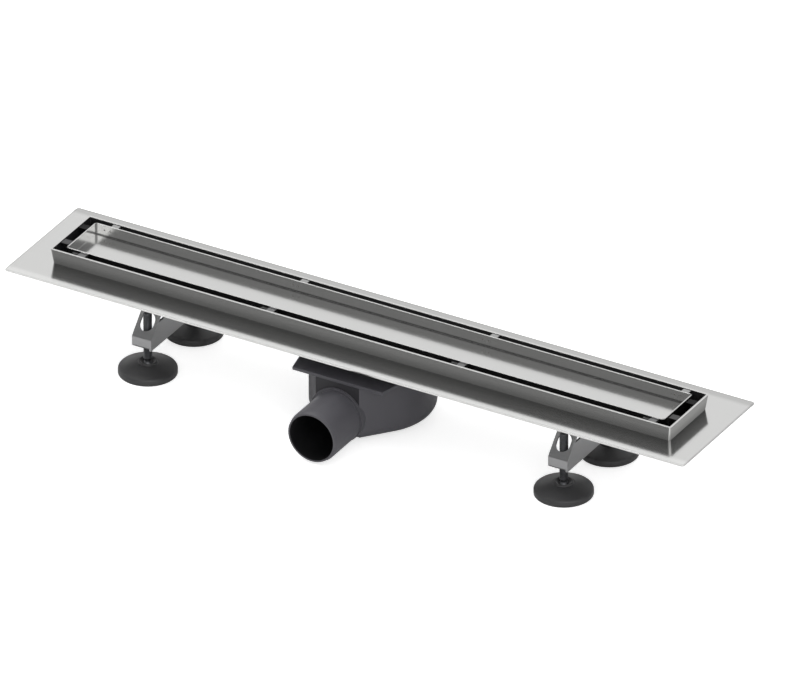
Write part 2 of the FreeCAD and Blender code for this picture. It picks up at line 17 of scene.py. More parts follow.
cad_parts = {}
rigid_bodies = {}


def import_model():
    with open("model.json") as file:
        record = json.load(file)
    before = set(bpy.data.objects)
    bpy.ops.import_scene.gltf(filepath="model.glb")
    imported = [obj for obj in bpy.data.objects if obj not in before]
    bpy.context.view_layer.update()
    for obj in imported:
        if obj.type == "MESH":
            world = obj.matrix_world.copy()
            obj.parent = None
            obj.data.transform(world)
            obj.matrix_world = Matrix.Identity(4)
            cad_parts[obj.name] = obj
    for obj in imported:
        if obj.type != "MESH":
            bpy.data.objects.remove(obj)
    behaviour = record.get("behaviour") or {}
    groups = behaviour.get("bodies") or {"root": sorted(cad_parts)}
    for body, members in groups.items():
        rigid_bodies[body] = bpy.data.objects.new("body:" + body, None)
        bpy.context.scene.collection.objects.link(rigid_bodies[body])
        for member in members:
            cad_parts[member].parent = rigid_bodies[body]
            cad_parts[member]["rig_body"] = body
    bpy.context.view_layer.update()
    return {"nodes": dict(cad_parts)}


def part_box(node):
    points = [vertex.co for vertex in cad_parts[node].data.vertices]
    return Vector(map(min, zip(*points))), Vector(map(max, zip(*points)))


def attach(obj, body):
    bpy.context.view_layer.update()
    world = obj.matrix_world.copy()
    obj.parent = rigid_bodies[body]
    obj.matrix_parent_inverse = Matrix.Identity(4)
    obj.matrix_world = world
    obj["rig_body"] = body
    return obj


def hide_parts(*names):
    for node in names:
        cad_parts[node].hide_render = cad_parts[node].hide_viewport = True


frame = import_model()
nodes = frame["nodes"]

# %% [markdown]
# ## Units, colours and shader nodes
#
# Lengths of the real object are known in millimetres and colours as sRGB hex codes, as a paint
# chart gives them. Shader sockets expect metres and linear light, so one factor and one small
# converter are enough for the whole lesson. One more helper adds a shader node, sets it and wires
# it. Written out by hand each node takes five lines, and the pattern is lost among them.

# %% Converters and the node helper
MM = 0.001
WHITE = (1, 1, 1, 1)


def linear(hex_code):
    """Turn an sRGB hex colour into the linear colour that a socket expects."""
    channels = [int(hex_code[start:start + 2], 16) / 255 for start in (1, 3, 5)]
    light = [c / 12.92 if c <= 0.04045 else ((c + 0.055) / 1.055) ** 2.4 for c in channels]
    return (*light, 1.0)


def add(tree, kind, inputs=None, **settings):
    """Add a shader node with its settings; inputs take values or the output sockets of other nodes."""
    node = tree.nodes.new(kind)
    for key, value in settings.items():
        setattr(node, key, value)
    for key, value in (inputs or {}).items():
        if isinstance(value, bpy.types.NodeSocket):
            tree.links.new(value, node.inputs[key])
        else:
            node.inputs[key].default_value = value
    return node


def new_finish(name):
    """An empty material and its node tree."""
    material = bpy.data.materials.new(name)
    material.use_nodes = True
    material.node_tree.nodes.clear()
    return material, material.node_tree


print("steel grey in linear light:", [round(c, 3) for c in linear("#D0D0CF")[:3]])

# %% [markdown]
# ## Camera
#
# The photograph shows the drain from its front right, 30 degrees round and 30 degrees up, with
# almost no perspective: the far end is about one percent smaller than the near one. A very long
# lens from 24 metres away gives just that. An orthographic camera would be close too, but it would
# lose that last hint of depth.

# %% Place the camera
AIM = Vector((18.0, 8.2, 75.0)) * MM
AZIMUTH = math.radians(30)
ELEVATION = math.radians(30)
FRAME_WIDTH = 714.3 * MM
SENSOR = 36.0
LENS = 1200.0

towards_camera = Vector((
    math.sin(AZIMUTH) * math.cos(ELEVATION),
    -math.cos(AZIMUTH) * math.cos(ELEVATION),
    math.sin(ELEVATION),
))
camera_data = bpy.data.cameras.new("product_camera")
camera_data.sensor_width = SENSOR
camera_data.lens = LENS
camera_data.clip_start = 1.0
camera_data.clip_end = 100.0
camera = bpy.data.objects.new("product_camera", camera_data)
bpy.context.scene.collection.objects.link(camera)
distance = FRAME_WIDTH * LENS / SENSOR
camera.location = AIM + towards_camera * distance
camera.rotation_mode = "QUATERNION"
camera.rotation_quaternion = (-towards_camera).to_track_quat("-Z", "Y")
bpy.context.scene.camera = camera
bpy.context.scene.view_settings.view_transform = "Standard"
print("camera stands", round(distance, 2), "m from its aim")

# %% [markdown]
# ## Light
#
# Ground steel shows little colour of its own: it shows what it faces. The flange of the real drain
# mirrors a bright wall behind it, while the front of its collar is dark, because that mirrors the
# unlit corner of the studio at the front left. So the world here is an even bright room with soft
# patches: that corner and its darker foot, a dark door that the right end of the collar mirrors, and
# a window whose light lies at the left end of the tray. A large softbox above the left end adds the
# direction of light that dull plastic needs to show its form.

# %% World and softbox
ROOM_LEVEL = 1.0
PATCHES = (  # direction, cosines where a patch starts and where it is full, and how it changes the level
    ("unlit corner", (-0.35, -0.90, 0.30), 0.45, 0.86, -0.65),
    ("foot of the unlit corner", (-0.42, -0.88, 0.20), 0.93, 0.99, -0.18),
    ("door behind the right end", (0.62, 0.72, 0.28), 0.80, 0.99, -0.82),
    ("window", (0.42, -0.74, 0.55), 0.90, 0.985, 1.70),
)
SOFTBOX_PLACE = (-1.1, 0.1, 2.0)
SOFTBOX_SIDE = 1.4
SOFTBOX_WATTS = 18.0

world = bpy.data.worlds.new("studio_room")
bpy.context.scene.world = world
world.use_nodes = True
room = world.node_tree
room.nodes.clear()
direction = add(room, "ShaderNodeTexCoord")
level = add(room, "ShaderNodeValue")
level.outputs[0].default_value = ROOM_LEVEL
for name, centre, starts, full, step in PATCHES:
    facing = add(room, "ShaderNodeVectorMath",
                 {0: direction.outputs["Generated"], 1: Vector(centre).normalized()},
                 operation="DOT_PRODUCT", label=name)
    change = add(room, "ShaderNodeMapRange",
                 {"Value": facing.outputs["Value"], "From Min": starts, "From Max": full,
                  "To Min": 0.0, "To Max": step},
                 interpolation_type="SMOOTHSTEP")
    level = add(room, "ShaderNodeMath", {0: level.outputs[0], 1: change.outputs[0]}, operation="ADD")
seen = add(room, "ShaderNodeBackground", {"Color": WHITE, "Strength": 1.0})
lit = add(room, "ShaderNodeBackground", {"Color": WHITE, "Strength": level.outputs[0]})
ray = add(room, "ShaderNodeLightPath")
both = add(room, "ShaderNodeMixShader",
           {0: ray.outputs["Is Camera Ray"], 1: lit.outputs[0], 2: seen.outputs[0]})
add(room, "ShaderNodeOutputWorld", {"Surface": both.outputs[0]})

softbox_data = bpy.data.lights.new("softbox", "AREA")
softbox_data.shape = "SQUARE"
softbox_data.size = SOFTBOX_SIDE
softbox_data.energy = SOFTBOX_WATTS
softbox = bpy.data.objects.new("softbox", softbox_data)
softbox.location = SOFTBOX_PLACE
softbox.rotation_mode = "QUATERNION"
softbox.rotation_quaternion = (AIM - softbox.location).to_track_quat("-Z", "Y")
bpy.context.scene.collection.objects.link(softbox)
print("room level", ROOM_LEVEL, "with", len(PATCHES), "patches")

# %% [markdown]
# ## Floor
#
# The product stands on white paper. The paper is a matt sheet that takes the soft shadow of the
# feet, and a little light of its own lifts the rest of it to the pure white of the photograph.
# That extra light is only for what looks straight at the paper or mirrors it, so it doesn't
# light the drain from below. Seen from under the floor the paper is clear, so that the underside of
# the drain can be looked at too.

# %% Paper floor
FLOOR_HALF = 15.0
SEEN_LIFT = 0.65
MIRRORED_LIFT = 0.10
paper, tree = new_finish("matt_white_paper")
matt = add(tree, "ShaderNodeBsdfDiffuse", {"Color": linear("#F4F4F4")})
ray = add(tree, "ShaderNodeLightPath")
mirrored = add(tree, "ShaderNodeMath",
               {0: ray.outputs["Is Glossy Ray"], 1: ray.outputs["Is Transmission Ray"]},
               operation="MAXIMUM")
mirrored_lift = add(tree, "ShaderNodeMath", {0: mirrored.outputs[0], 1: MIRRORED_LIFT},
                    operation="MULTIPLY")
lift = add(tree, "ShaderNodeMath",
           {0: ray.outputs["Is Camera Ray"], 1: SEEN_LIFT, 2: mirrored_lift.outputs[0]},
           operation="MULTIPLY_ADD")
glow = add(tree, "ShaderNodeEmission", {"Color": WHITE, "Strength": lift.outputs[0]})
upper_side = add(tree, "ShaderNodeAddShader", {0: matt.outputs[0], 1: glow.outputs[0]})
clear = add(tree, "ShaderNodeBsdfTransparent")
faces = add(tree, "ShaderNodeNewGeometry")
sheet = add(tree, "ShaderNodeMixShader",
            {0: faces.outputs["Backfacing"], 1: upper_side.outputs[0], 2: clear.outputs[0]})
add(tree, "ShaderNodeOutputMaterial", {"Surface": sheet.outputs[0]})

bm = bmesh.new()
bmesh.ops.create_grid(bm, x_segments=1, y_segments=1, size=FLOOR_HALF)
floor_mesh = bpy.data.meshes.new("paper_floor")
bm.to_mesh(floor_mesh)
bm.free()
floor = bpy.data.objects.new("paper_floor", floor_mesh)
floor_mesh.materials.append(paper)
bpy.context.scene.collection.objects.link(floor)
print("floor is", 2 * FLOOR_HALF, "m wide")

# %% [markdown]
# ## Ground stainless steel
#
# The flange, the collar and the tray are austenitic stainless sheet, ground with a fine belt along
# the channel. The eye gets a blurred mirror whose blur is streaked along the grinding: a bright
# field where it faces the bright room and near black where it faces the dark corner. The real
# scratches are about 0.05 mm apart, far too fine for the picture, so the streaks here are drawn
# 0.35 mm apart and very shallow. On the short end walls the grinding runs across the channel, so the
# pattern swaps its axes where the surface faces along X.
#
# Towards a fold, a seam and the cut edge the sheet's colour is darkened: painted shade, where less
# light reaches into the crease. Along the two long edges of the flange the colour is lighter at the
# front and darker at the back: a painted reflection of another height of the room, as if the sheet
# tilted there by a hair. Each of the two is a short function that changes the sheet's colour near its line.

# %% Painted shade along creases and painted reflections along rims
def darker_towards(tree, place, base, border, upright):
    """Darken a colour towards a line round the sheet: painted shade along a fold, a seam or a cut edge.

    The shade line is (half length, half width, level) of that line and (reach, darkest share) of its
    shade. With upright set, the upright corners darken too and the folds at the two ends don't.
    """
    line_place, (reach, darkest) = border
    positive = add(tree, "ShaderNodeVectorMath", {0: place.outputs["Object"]}, operation="ABSOLUTE")
    offset = add(tree, "ShaderNodeVectorMath",
                 {0: positive.outputs[0], 1: line_place}, operation="SUBTRACT")
    apart = add(tree, "ShaderNodeSeparateXYZ", {0: offset.outputs[0]})
    height = add(tree, "ShaderNodeMath", {0: apart.outputs["Z"]}, operation="ABSOLUTE")
    if upright:
        end = add(tree, "ShaderNodeMath", {0: apart.outputs["X"]}, operation="ABSOLUTE")
        side = add(tree, "ShaderNodeMath", {0: apart.outputs["Y"]}, operation="ABSOLUTE")
        line = add(tree, "ShaderNodeMath", {0: end.outputs[0], 1: height.outputs[0]}, operation="MINIMUM")
        away = add(tree, "ShaderNodeMath", {0: side.outputs[0], 1: line.outputs[0]}, operation="MAXIMUM")
    else:
        plan = add(tree, "ShaderNodeMath", {0: apart.outputs["X"], 1: apart.outputs["Y"]},
                   operation="MAXIMUM")
        near = add(tree, "ShaderNodeMath", {0: plan.outputs[0]}, operation="ABSOLUTE")
        away = add(tree, "ShaderNodeMath", {0: near.outputs[0], 1: height.outputs[0]}, operation="MAXIMUM")
    share = add(tree, "ShaderNodeMapRange",
                {"Value": away.outputs[0], "From Min": 0.0, "From Max": reach,
                 "To Min": darkest, "To Max": 1.0},
                interpolation_type="SMOOTHSTEP")
    shaded = add(tree, "ShaderNodeVectorMath", {0: base, "Scale": share.outputs[0]}, operation="SCALE")
    return shaded.outputs[0]


def tilted_rims(tree, place, base, rims):
    """Change a colour along the two long edges to paint a reflection of another height of the room.

    The rim reflections are the offset of each from the middle line and (reach, front share, back share):
    a share holds from the offset outwards and fades over the reach inside it.
    """
    rim_offset, (reach, front_share, back_share) = rims
    across = add(tree, "ShaderNodeSeparateXYZ", {0: place.outputs["Object"]})
    for edge, share in ((-rim_offset, front_share), (rim_offset, back_share)):
        start = edge - math.copysign(reach, edge)
        rim = add(tree, "ShaderNodeMapRange",
                  {"Value": across.outputs["Y"], "From Min": start, "From Max": edge,
                   "To Min": 1.0, "To Max": share},
                  interpolation_type="SMOOTHSTEP")
        tilted = add(tree, "ShaderNodeVectorMath", {0: base, "Scale": rim.outputs[0]}, operation="SCALE")
        base = tilted.outputs[0]
    return base


print("two ways to change the sheet's colour near a line")

# %% [markdown]
# Hidden and pickled pieces use the same finish with darker colours and a wider blur. The wider blur is
# the dull grey skin that acid leaves, which mirrors almost nothing. The darker colours are painted shade:
# of the slot in the trough, of the parts under the tray and of the strips in the tray, which get
# lit and shaded copies of one steel by where they stand.
# Each finish names two close colours and two roughnesses, and the streaks run between them. The
# noise that draws the streaks lies mostly between 0.3 and 0.7, so that span is stretched to the
# whole range of roughness.

# %% Finishes of the sheet
GRIND_PITCH = 0.35 * MM
GRIND_LENGTH = 60 * MM
GRIND_STRENGTH = 0.2
NOISE_LOW = 0.3
NOISE_HIGH = 0.7
FACES_ALONG_X = 0.7


def ground_steel(name, colours, rough, depth, border=None, upright=False, rims=None):
    """Stainless sheet ground along its length; colours and rough bound its streaks."""
    material, tree = new_finish(name)
    place = add(tree, "ShaderNodeTexCoord")
    turned = add(tree, "ShaderNodeMapping",
                 {"Vector": place.outputs["Object"], "Rotation": (0, 0, math.radians(90))})
    split = add(tree, "ShaderNodeSeparateXYZ", {0: place.outputs["Normal"]})
    side = add(tree, "ShaderNodeMath", {0: split.outputs["X"]}, operation="ABSOLUTE")
    on_end = add(tree, "ShaderNodeMath", {0: side.outputs[0], 1: FACES_ALONG_X}, operation="GREATER_THAN")
    along = add(tree, "ShaderNodeMix",
                {"Factor": on_end.outputs[0], 4: place.outputs["Object"], 5: turned.outputs[0]},
                data_type="VECTOR")
    streaked = add(tree, "ShaderNodeVectorMath",
                   {0: along.outputs[1], 1: (1 / GRIND_LENGTH, 1 / GRIND_PITCH, 1 / GRIND_PITCH)},
                   operation="MULTIPLY")
    streaks = add(tree, "ShaderNodeTexNoise",
                  {"Vector": streaked.outputs[0], "Scale": 1.0, "Detail": 3.0, "Roughness": 0.6})
    blur = add(tree, "ShaderNodeMapRange",
               {"Value": streaks.outputs[0], "From Min": NOISE_LOW, "From Max": NOISE_HIGH,
                "To Min": rough[0], "To Max": rough[1]})
    tint = add(tree, "ShaderNodeMix",
               {"Factor": streaks.outputs[0], 6: linear(colours[0]), 7: linear(colours[1])},
               data_type="RGBA")
    base = tint.outputs[2]
    # Painted shade towards a crease or edge line, where one is given.
    if border:
        base = darker_towards(tree, place, base, border, upright)
    # Painted reflection along the two long rims, where they are given.
    if rims:
        base = tilted_rims(tree, place, base, rims)
    relief = add(tree, "ShaderNodeBump",
                 {"Height": streaks.outputs[0], "Strength": GRIND_STRENGTH, "Distance": depth})
    metal = add(tree, "ShaderNodeBsdfPrincipled",
                {"Base Color": base, "Metallic": 1.0, "Roughness": blur.outputs[0],
                 "Normal": relief.outputs[0]})
    add(tree, "ShaderNodeOutputMaterial", {"Surface": metal.outputs[0]})
    return material


GROUND = ("#CCCCCB", "#D4D4D3")
GROUND_ROUGH = (0.11, 0.16)
TRAY_ROUGH = (0.14, 0.20)
PICKLED_ROUGH = (0.42, 0.55)
GROUND_DEPTH = 0.006 * MM
COARSE_DEPTH = 0.020 * MM
COLLAR_FLARE = 2 * MM
TRAY_SHEET = 1.2 * MM
RIM_WIDTH = 5 * MM
# Painted shade: reach and darkest share by the flange's cut, the collar's seam and the tray's fold.
CUT_SHADE = (2.5 * MM, 0.80)
SEAM_SHADE = (12 * MM, 0.60)
FOLD_SHADE = (2.2 * MM, 0.22)
# Painted reflection along the flange's rims: reach, front share and back share.
RIM_TILT = (6.5 * MM, 1.17, 0.80)
flange_low, flange_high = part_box("sealing_flange")
trough_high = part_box("channel_trough")[1]
tray_low, tray_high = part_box("tile_tray")
cut = tuple(flange_high)
seam = (trough_high.x - COLLAR_FLARE, trough_high.y - COLLAR_FLARE, flange_high.z)
fold = (tray_high.x - TRAY_SHEET, tray_high.y - TRAY_SHEET, tray_low.z + TRAY_SHEET)
sheet_steel = ground_steel("ground_stainless_sheet", GROUND, GROUND_ROUGH, GROUND_DEPTH)
# The flange, collar and tray are darkened with painted shade by their cut, seam and fold, and the flange
# gets a painted reflection along its rims.
flange_steel = ground_steel("ground_stainless_painted_cut_shade_and_rim_reflection", GROUND, GROUND_ROUGH, GROUND_DEPTH,
                            (cut, CUT_SHADE), rims=(flange_high.y - RIM_WIDTH, RIM_TILT))
collar_steel = ground_steel("ground_stainless_painted_seam_shade", GROUND, GROUND_ROUGH, GROUND_DEPTH,
                            (seam, SEAM_SHADE))
tray_steel = ground_steel("ground_stainless_painted_fold_shade", GROUND, TRAY_ROUGH, GROUND_DEPTH,
                          (fold, FOLD_SHADE), upright=True)
strip_steel = ground_steel("mill_finish_stainless_strip", ("#9A9A9A", "#A8A8A7"), (0.25, 0.35),
                           GROUND_DEPTH)
# Painted shade: darker copies of the strip steel for the front strips and, deepest, the end strips, and a
# dark pickled sheet for the slot in the trough and the parts under the tray.
shaded_strip_steel = ground_steel("mill_finish_stainless_strip_painted_shade", ("#707071", "#7C7C7C"), (0.30, 0.40),
                                  GROUND_DEPTH)
dark_strip_steel = ground_steel("pickled_stainless_strip_painted_deep_shade", ("#151516", "#1D1D1E"), PICKLED_ROUGH,
                                GROUND_DEPTH)
pickled_steel = ground_steel("pickled_stainless_sheet_painted_shade", ("#4A4A4B", "#565657"), PICKLED_ROUGH,
                             COARSE_DEPTH)
bracket_steel = ground_steel("cold_rolled_bracket_steel", ("#8E8E8F", "#9E9E9F"), (0.34, 0.46),
                             COARSE_DEPTH)
print("steel finishes:", sheet_steel.name, bracket_steel.name)

# %% [markdown]
# ## Zinc-plated fasteners
#
# Rods and nuts are turned from free-cutting steel and zinc plated. Plating is duller than ground
# sheet and slightly cloudy. The cloud is about 3 mm across, which is what remains after a barrel
# plating bath.

# %% Finish of rods, nuts and screws
CLOUD_SIZE = 3 * MM
zinc, tree = new_finish("zinc_plated_steel")
place = add(tree, "ShaderNodeTexCoord")
cloud = add(tree, "ShaderNodeTexNoise",
            {"Vector": place.outputs["Object"], "Scale": 1 / CLOUD_SIZE, "Detail": 4.0})
tint = add(tree, "ShaderNodeMix",
           {"Factor": cloud.outputs[0], 6: linear("#5A5B5E"), 7: linear("#747577")},
           data_type="RGBA")
blur = add(tree, "ShaderNodeMapRange", {"Value": cloud.outputs[0], "To Min": 0.30, "To Max": 0.50})
plating = add(tree, "ShaderNodeBsdfPrincipled",
              {"Base Color": tint.outputs[2], "Metallic": 1.0, "Roughness": blur.outputs[0]})
add(tree, "ShaderNodeOutputMaterial", {"Surface": plating.outputs[0]})
print("fastener finish:", zinc.name)

# %% [markdown]
# ## Moulded plastics and rubber
#
# The trap is injection-moulded polypropylene in anthracite, the siphon insert a lighter grey, the
# pads a nearly black polyamide and the seals EPDM rubber. A spark-eroded mould leaves a fine even
# grain. Its real size is about 0.1 mm, drawn here at 0.6 mm or more so that it shows at all, and a
# slow change of blur over some centimetres is what handling and cooling leave. Plastic has a plain
# white gloss on top of its colour, so each keeps the usual IOR near 1.5.

# %% Finishes of the plastics
HANDLING_SIZE = 22 * MM
FINE_GRAIN = 0.6 * MM
PAD_GRAIN = 0.7 * MM
RUBBER_GRAIN = 0.9 * MM
GRAIN_STRENGTH = 0.35
PLASTIC_IOR = 1.5


def moulded(name, colours, rough, grain, depth):
    """A moulded plastic: two close colours, a range of roughness and a fine mould grain."""
    material, tree = new_finish(name)
    place = add(tree, "ShaderNodeTexCoord")
    slow = add(tree, "ShaderNodeTexNoise",
               {"Vector": place.outputs["Object"], "Scale": 1 / HANDLING_SIZE, "Detail": 3.0})
    fine = add(tree, "ShaderNodeTexNoise",
               {"Vector": place.outputs["Object"], "Scale": 1 / grain, "Detail": 2.0})
    tint = add(tree, "ShaderNodeMix",
               {"Factor": slow.outputs[0], 6: linear(colours[0]), 7: linear(colours[1])},
               data_type="RGBA")
    blur = add(tree, "ShaderNodeMapRange",
               {"Value": slow.outputs[0], "From Min": NOISE_LOW, "From Max": NOISE_HIGH,
                "To Min": rough[0], "To Max": rough[1]})
    relief = add(tree, "ShaderNodeBump",
                 {"Height": fine.outputs[0], "Strength": GRAIN_STRENGTH, "Distance": depth})
    plastic = add(tree, "ShaderNodeBsdfPrincipled",
                  {"Base Color": tint.outputs[2], "IOR": PLASTIC_IOR, "Roughness": blur.outputs[0],
                   "Normal": relief.outputs[0]})
    add(tree, "ShaderNodeOutputMaterial", {"Surface": plastic.outputs[0]})
    return material


trap_plastic = moulded("moulded_anthracite_polypropylene", ("#444348", "#4C4B50"), (0.48, 0.60),
                       FINE_GRAIN, 0.05 * MM)
# Painted shade: darker copies of the anthracite for the recessed front and the inside of the trap.
trap_recess = moulded("anthracite_polypropylene_painted_front_shade", ("#212024", "#29282C"), (0.55, 0.66),
                      FINE_GRAIN, 0.05 * MM)
trap_core = moulded("anthracite_polypropylene_painted_inner_shade", ("#0B0B0D", "#101013"), (0.50, 0.62),
                    FINE_GRAIN, 0.02 * MM)
insert_plastic = moulded("moulded_grey_polypropylene", ("#6C6D70", "#76777A"), (0.35, 0.45),
                         FINE_GRAIN, 0.04 * MM)
pad_plastic = moulded("moulded_black_polyamide", ("#333334", "#3B3B3C"), (0.42, 0.55),
                      PAD_GRAIN, 0.06 * MM)
seal_rubber = moulded("black_epdm_rubber", ("#161617", "#1C1C1D"), (0.60, 0.75),
                      RUBBER_GRAIN, 0.05 * MM)
print("plastic finishes:", trap_plastic.name, insert_plastic.name, pad_plastic.name, seal_rubber.name)

# %% [markdown]
# ## Dressing a sheet part
#
# A cut or folded sheet never has a perfectly sharp edge, and the bright line along each rim of the
# photograph is light caught by that small round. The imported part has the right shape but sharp
# edges and loose triangles. A copy of its mesh is welded together, its flat faces are joined into
# whole ones, and a Bevel modifier rounds the edges by a named amount. Modelling each part again
# would risk a difference from the model, and a copy can't have one.

# %% Helpers for edged copies
WELD = 0.002 * MM
FLAT_ANGLE = math.radians(0.4)
SMOOTH_ANGLE = math.radians(30.0)
ROUNDED_ANGLE = math.radians(35.0)
ROUND_SEGMENTS = 2


def finished(bm, name, material, body, stands_for=()):
    """Make a piece from a bmesh: shading, finish, body and the parts that it stands for."""
    mesh = bpy.data.meshes.new(name)
    bm.to_mesh(mesh)
    bm.free()
    mesh.polygons.foreach_set("use_smooth", [True] * len(mesh.polygons))
    mesh.set_sharp_from_angle(angle=SMOOTH_ANGLE)
    mesh.materials.append(material)
    piece = bpy.data.objects.new(name, mesh)
    bpy.context.scene.collection.objects.link(piece)
    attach(piece, body)
    if stands_for:
        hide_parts(*stands_for)
    return piece


def body_name(node):
    """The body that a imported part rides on."""
    return nodes[node]["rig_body"]


def edged(node, name, material, edge):
    """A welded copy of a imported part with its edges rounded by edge."""
    bm = bmesh.new()
    bm.from_mesh(nodes[node].data)
    bmesh.ops.remove_doubles(bm, verts=bm.verts, dist=WELD)
    bmesh.ops.dissolve_limit(bm, angle_limit=FLAT_ANGLE, verts=bm.verts, edges=bm.edges)
    piece = finished(bm, name, material, body_name(node), (node,))
    bevel = piece.modifiers.new("rounded_edges", "BEVEL")
    bevel.width = edge
    bevel.segments = ROUND_SEGMENTS
    bevel.limit_method = "ANGLE"
    bevel.angle_limit = ROUNDED_ANGLE
    bevel.material = 0
    flats = piece.modifiers.new("flat_faces_stay_flat", "WEIGHTED_NORMAL")
    flats.weight = 100
    flats.keep_sharp = True
    return piece


print("edges over", round(math.degrees(ROUNDED_ANGLE)), "degrees are rounded")

# %% [markdown]
# The trough keeps its ground finish only where it stands out of the flange as the collar. Its
# inside and all of it below the flange were pickled, so those faces get that finish, whose dark
# colour is painted shade of the deep slot, and the line where the collar leaves the flange stays a
# sharp fold. The collar gets the widest round of the sheet parts, because its rim has the broadest
# bright line in the photograph.

# %% Flange, trough, tray and clamping plate
SHEET_EDGES = (  # node, finish and the round of its edges
    ("sealing_flange", flange_steel, 0.2 * MM),
    ("channel_trough", collar_steel, 0.38 * MM),
    ("tile_tray", tray_steel, 0.12 * MM),
    ("clamp_plate", pickled_steel, 0.2 * MM),
)
for node, material, edge in SHEET_EDGES:
    piece = edged(node, f"{node}_sheet", material, edge)
    print(piece.name, len(piece.data.polygons), "faces before its bevel")

# %% Pickled faces of the trough, with painted shade
UNDER_FLANGE = 0.5 * MM
trough = bpy.data.objects["channel_trough_sheet"]
trough.data.materials.append(pickled_steel)
pickled_faces = 0
for face in trough.data.polygons:
    middle = face.center
    if abs(face.normal.x) > FACES_ALONG_X:
        inward = middle.x * face.normal.x < 0
    else:
        inward = middle.y * face.normal.y < 0
    if inward or middle.z < flange_low.z - UNDER_FLANGE:
        face.material_index = 1
        pickled_faces += 1
points = trough.data.vertices
fold_line = [edge for edge in trough.data.edges
             if all(abs(points[index].co.z - flange_high.z) < WELD for index in edge.vertices)]
for edge in fold_line:
    edge.use_edge_sharp = True
print(pickled_faces, "faces of the trough are pickled,", len(fold_line), "edges at its collar are sharp")

# %% Spacers, tray legs and foot brackets
STRIP_EDGE = 0.15 * MM
BRACKET_EDGE = 0.22 * MM


def strip_finish(node):
    """Finish of a bent strip, by the slot that it stands in: lit and shaded copies, with painted shade
    deepest at the ends.
    """
    if node.startswith(("tray_spacer_left", "tray_spacer_right")):
        low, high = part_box(node)
        return dark_strip_steel if low.y + high.y > 0 else pickled_steel
    if node.startswith("tray_spacer_back"):
        return strip_steel
    if node.startswith("tray_spacer_front"):
        return shaded_strip_steel
    return pickled_steel


strips = [name for name in nodes if name.startswith(("tray_spacer", "tray_leg"))]
for node in strips:
    edged(node, f"{node}_strip", strip_finish(node), STRIP_EDGE)
print(len(strips), "bent strips edged")

for end in ("left", "right"):
    piece = edged(f"foot_bracket_{end}", f"foot_bracket_{end}_sheet", bracket_steel,
                  BRACKET_EDGE)
    print(piece.name, len(piece.data.polygons), "faces before its bevel")

# %% [markdown]
# ## The trap
#
# The trap housing is the piece that takes most skill in the real product: one moulding with a pot,
# a recessed front and a spigot, and a lid with a neck welded on it. Mould makers round every outside
# edge by about half a millimetre, so the same copy-and-bevel way fits it, with a wider round than on
# sheet. The inside of the pot and the bore get a near black colour, painted shade of those hollows,
# and the recessed front a darker one, painted shade under the plate above it, so the faces there get
# finishes of their own.

# %% Moulded parts of the trap
TRAP_EDGE = 0.45 * MM
INSERT_EDGE = 0.3 * MM
for node, material, slot, edge in (
    ("trap_lid", trap_plastic, "trap_plastic", TRAP_EDGE),
    ("trap_housing", trap_plastic, "trap_plastic", TRAP_EDGE),
    ("dip_tube", insert_plastic, "insert_plastic", INSERT_EDGE),
    ("siphon_cup", insert_plastic, "insert_plastic", INSERT_EDGE),
):
    piece = edged(node, f"{node}_moulding", material, edge)
    print(piece.name, len(piece.data.polygons), "faces before its bevel")

# %% Painted shade inside and on the recessed front of the housing
SPIGOT_LEVEL = 27 * MM
BORE_REACH = 23 * MM
BORE_END = -40 * MM
POT_FRONT = -62 * MM
RECESS_HALF = 24 * MM
RECESS_FRONT = -64.5 * MM
UPRIGHT_WALL = 0.5
FACES_FRONT = -0.99

housing = bpy.data.objects["trap_housing_moulding"]
housing.data.materials.append(trap_core)
housing.data.materials.append(trap_recess)
housing_low, housing_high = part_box("trap_housing")
trap_axis = (housing_low.x + housing_high.x) / 2
core_faces = 0
front_faces = 0
for face in housing.data.polygons:
    middle = face.center
    from_bore = Vector((middle.x - trap_axis, 0.0, middle.z - SPIGOT_LEVEL))
    from_pot = Vector((middle.x - trap_axis, middle.y, 0.0))
    in_bore = from_bore.length < BORE_REACH and middle.y < BORE_END and from_bore.dot(face.normal) < 0
    in_pot = from_pot.dot(face.normal) < 0 and abs(face.normal.z) < UPRIGHT_WALL and middle.y > POT_FRONT
    in_recess = face.normal.y < FACES_FRONT and abs(middle.x - trap_axis) < RECESS_HALF
    if in_bore or in_pot:
        face.material_index = 1
        core_faces += 1
    elif in_recess and middle.y > RECESS_FRONT:
        face.material_index = 2
        front_faces += 1
print(core_faces, "faces on the core side,", front_faces, "on the recessed front")

# %% Strainer, seals and screws
STRAINER_EDGE = 0.2 * MM
edged("hair_strainer", "hair_strainer_pressing", sheet_steel, STRAINER_EDGE)
for node, material in (("trap_gasket", seal_rubber), ("insert_seal", seal_rubber), ("clamp_screws", zinc)):
    nodes[node].data.materials.clear()
    nodes[node].data.materials.append(material)
print("seals and screws keep the packed shape")

# %% [markdown]
# ## Feet
#
# Each foot is a threaded rod whose ball end snaps into a moulded pad. A thread is one short
# zigzag outline carried round the axis while it climbs one pitch per turn, and the spin operator
# does exactly that when it is given a step upwards. The copies of the thread's last turn then
# meet the first turn of the next pitch and are welded.

# %% Threaded rods
PITCH = 1.25 * MM
CREST = 4.0 * MM
ROOT = 3.32 * MM
CREST_FROM = 0.42
CREST_TO = 0.58
TURN_STEPS = 24
BALL = 5.0 * MM
BALL_HEIGHT = 5.0 * MM
NECK = 2.8 * MM
SHOULDER = 1.2 * MM
THREAD_START = 12.0 * MM
THREAD_END = 0.5 * MM
TIP_HEIGHT = 0.6 * MM
TIP_BEVEL = 0.35 * MM
ARC_STEP = 10
BALL_ARC_END = 140
feet = [f"{side}_{end}" for side in ("front", "back") for end in ("left", "right")]


